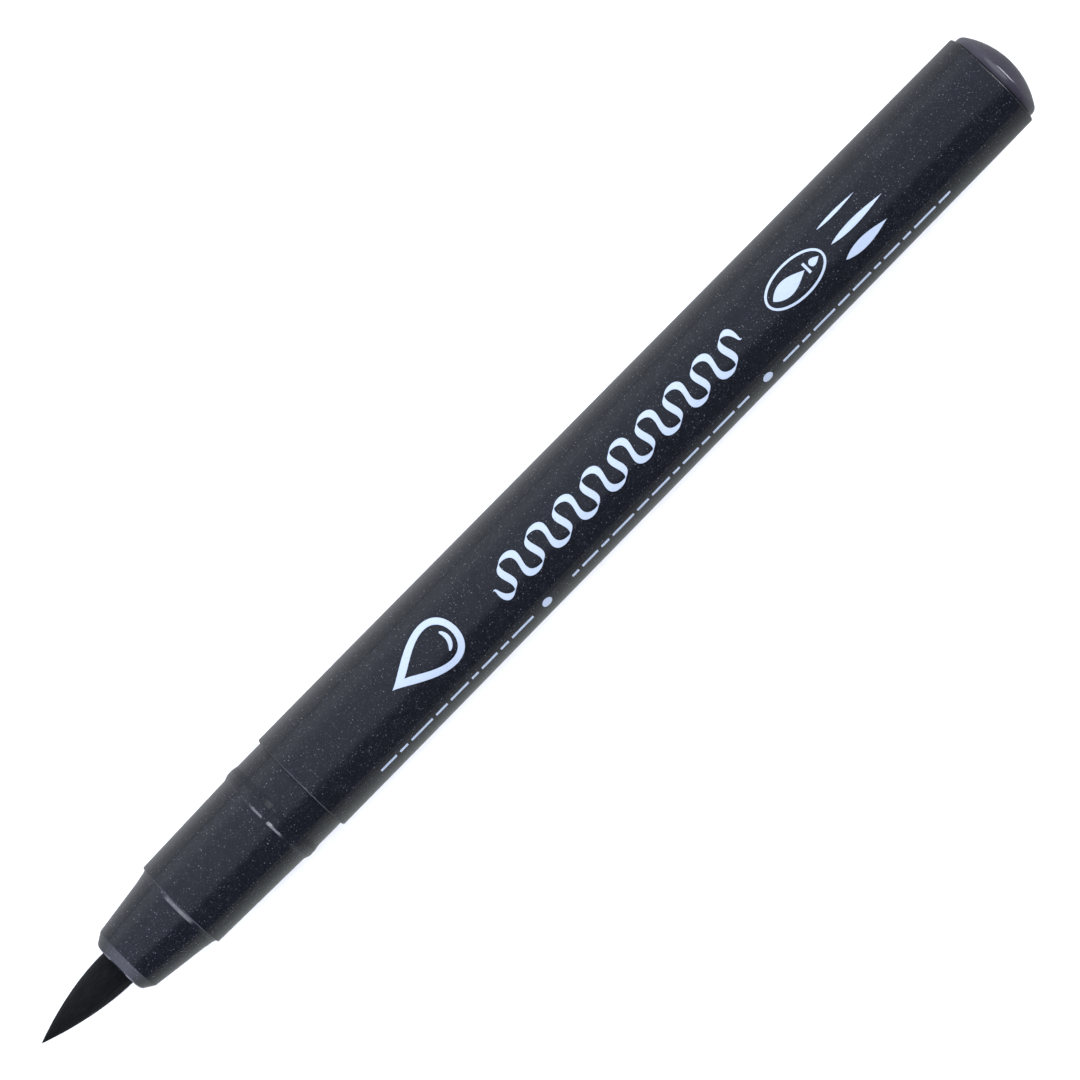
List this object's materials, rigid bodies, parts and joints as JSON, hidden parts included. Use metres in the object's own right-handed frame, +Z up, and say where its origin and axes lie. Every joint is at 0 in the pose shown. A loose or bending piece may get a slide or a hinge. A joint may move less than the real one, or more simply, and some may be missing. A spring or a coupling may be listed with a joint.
{
  "type": "calligraphy marker",
  "caption": "Brush marker for calligraphy: round barrel with a domed end plug, stepped nose holding a flexible felt brush nib fed by a fibre reservoir, and a push-on cap with a clip.",
  "frame": {"origin": "on the pen's axis, in the plane of the barrel's front edge, where the collar that takes the cap begins", "axes": "X along the pen, the nib towards -X and the domed end towards +X; Y across, towards the side that the worn nib leans to; +Z up, with the pen lying on its side and its printed side up"},
  "size_m": [0.1946, 0.0138, 0.0129],
  "materials": {
    "dark_plastic": "satin",
    "plug_plastic": "satin",
    "natural_plastic": "satin",
    "felt": "matte",
    "ink_fibre": "matte",
    "film": "gloss",
    "print_ink": "satin"
  },
  "bodies": {
    "pen": {"barrel": "dark_plastic", "end_plug": "plug_plastic", "front_section": "dark_plastic", "nib_holder": "natural_plastic", "nib_root": "felt", "relay_wick": "ink_fibre", "reservoir": "ink_fibre", "reservoir_wrap": "film"},
    "nib": {"nib_tip": "felt"},
    "cap": {"cap_shell": "dark_plastic", "cap_liner": "natural_plastic"}
  },
  "joints": [
    {"name": "cap_slide", "type": "slide", "parent": "pen", "child": "cap", "axis": [0.9999, 0, -0.011], "range_m": [0, 0.0469]},
    {"name": "nib_flex", "type": "hinge", "parent": "pen", "child": "nib", "pos_m": [-0.0263, 0, 0], "axis": [0, 0, 1], "range_deg": [-20, 20], "stiffness_Nm_per_rad": 0.006}
  ]
}
